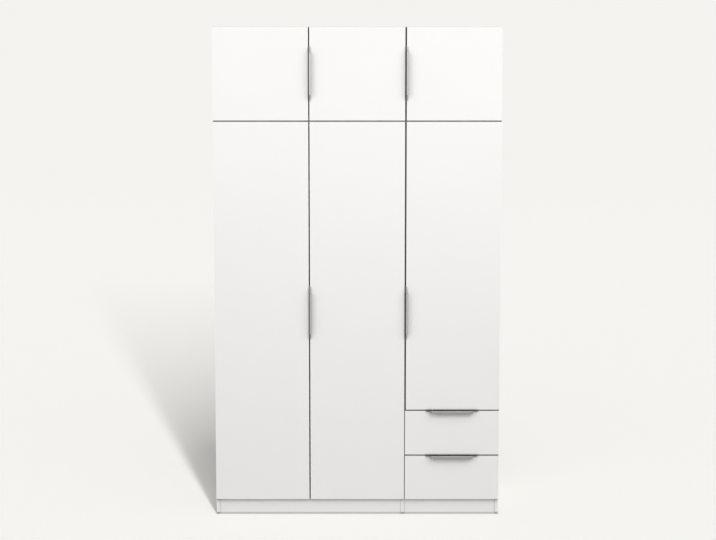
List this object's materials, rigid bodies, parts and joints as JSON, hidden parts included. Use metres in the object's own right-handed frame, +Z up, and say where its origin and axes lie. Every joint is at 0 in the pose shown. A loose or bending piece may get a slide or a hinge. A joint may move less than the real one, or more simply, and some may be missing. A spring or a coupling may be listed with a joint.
{
  "type": "wardrobe with drawers",
  "caption": "Tall white wardrobe with hinged doors, a matching row of top box doors, drawers under the narrow door, recessed plinths and bent metal edge handles.",
  "frame": {"origin": "on the floor under the middle of the overall box, handles included", "axes": "+X to the right along the front, +Y to the back, +Z up; the doors face -Y"},
  "size_m": [1.5, 0.608, 2.569],
  "materials": {
    "white_board": "matt white melamine-faced board with matching edge bands",
    "drawer_board": "matt off-white foil-wrapped board",
    "back_board": "white-faced thin hardboard",
    "handle_metal": "satin grey anodised, fine grain",
    "hinge_steel": "nickel-plated pressed steel",
    "runner_steel": "bright zinc-plated rolled steel",
    "rail_chrome": "polished chrome tube",
    "zinc_steel": "dull zinc-plated steel"
  },
  "bodies": {
    "cabinet": {"left_unit_left_side": "white_board", "left_unit_right_side": "white_board", "left_unit_bottom": "white_board", "left_unit_top": "white_board", "left_unit_back": "back_board", "left_unit_plinth": "white_board", "hat_shelf": "white_board", "hanging_rail": "rail_chrome", "rail_sockets": "rail_chrome", "right_unit_left_side": "white_board", "right_unit_right_side": "white_board", "right_unit_bottom": "white_board", "right_unit_top": "white_board", "right_unit_back": "back_board", "right_unit_plinth": "white_board", "drawer_divider": "white_board", "loose_shelves": "white_board", "shelf_pins": "zinc_steel", "left_top_box_sides": "white_board", "left_top_box_bottom": "white_board", "left_top_box_roof": "white_board", "left_top_box_back": "back_board", "right_top_box_sides": "white_board", "right_top_box_bottom": "white_board", "right_top_box_roof": "white_board", "right_top_box_back": "back_board", "joining_screws": "zinc_steel", "wall_brackets": "zinc_steel", "hinge_arms": "hinge_steel", "cabinet_runners": "runner_steel"},
    "door_1": {"door_1": "white_board", "door_1_hinge_cups": "hinge_steel"},
    "door_2": {"door_2": "white_board", "door_2_hinge_cups": "hinge_steel", "door_2_handle": "handle_metal"},
    "door_3": {"door_3": "white_board", "door_3_hinge_cups": "hinge_steel", "door_3_handle": "handle_metal"},
    "top_door_1": {"top_door_1": "white_board", "top_door_1_hinge_cups": "hinge_steel"},
    "top_door_2": {"top_door_2": "white_board", "top_door_2_hinge_cups": "hinge_steel", "top_door_2_handle": "handle_metal"},
    "top_door_3": {"top_door_3": "white_board", "top_door_3_hinge_cups": "hinge_steel", "top_door_3_handle": "handle_metal"},
    "drawer_1": {"drawer_1_front": "white_board", "drawer_1_sides": "drawer_board", "drawer_1_back": "drawer_board", "drawer_1_bottom": "back_board", "drawer_1_handle": "handle_metal", "drawer_1_runner_rails": "runner_steel"},
    "drawer_1_slides": {"drawer_1_runner_slides": "runner_steel"},
    "drawer_2": {"drawer_2_front": "white_board", "drawer_2_sides": "drawer_board", "drawer_2_back": "drawer_board", "drawer_2_bottom": "back_board", "drawer_2_handle": "handle_metal", "drawer_2_runner_rails": "runner_steel"},
    "drawer_2_slides": {"drawer_2_runner_slides": "runner_steel"}
  },
  "joints": [
    {"name": "door_1_swing", "type": "hinge", "parent": "cabinet", "child": "door_1", "pos_m": [-0.741, -0.276, 1.0835], "axis": [0, 0, -1], "range_deg": [0, 95]},
    {"name": "door_2_swing", "type": "hinge", "parent": "cabinet", "child": "door_2", "pos_m": [0.2395, -0.276, 1.0835], "axis": [0, 0, 1], "range_deg": [0, 90]},
    {"name": "door_3_swing", "type": "hinge", "parent": "cabinet", "child": "door_3", "pos_m": [0.741, -0.276, 1.0835], "axis": [0, 0, 1], "range_deg": [0, 95]},
    {"name": "top_door_1_swing", "type": "hinge", "parent": "cabinet", "child": "top_door_1", "pos_m": [-0.741, -0.276, 2.32775], "axis": [0, 0, -1], "range_deg": [0, 95]},
    {"name": "top_door_2_swing", "type": "hinge", "parent": "cabinet", "child": "top_door_2", "pos_m": [0.2395, -0.276, 2.32775], "axis": [0, 0, 1], "range_deg": [0, 95]},
    {"name": "top_door_3_swing", "type": "hinge", "parent": "cabinet", "child": "top_door_3", "pos_m": [0.741, -0.276, 2.32775], "axis": [0, 0, 1], "range_deg": [0, 95]},
    {"name": "drawer_1_pull", "type": "slide", "parent": "cabinet", "child": "drawer_1", "axis": [0, -1, 0], "range_m": [0, 0.45]},
    {"name": "drawer_1_runner", "type": "slide", "parent": "cabinet", "child": "drawer_1_slides", "axis": [0, -1, 0], "range_m": [0, 0.225]},
    {"name": "drawer_2_pull", "type": "slide", "parent": "cabinet", "child": "drawer_2", "axis": [0, -1, 0], "range_m": [0, 0.45]},
    {"name": "drawer_2_runner", "type": "slide", "parent": "cabinet", "child": "drawer_2_slides", "axis": [0, -1, 0], "range_m": [0, 0.225]}
  ],
  "couplings": [
    {"joint": "drawer_1_runner", "follows": "drawer_1_pull", "ratio": 0.5},
    {"joint": "drawer_2_runner", "follows": "drawer_2_pull", "ratio": 0.5}
  ]
}
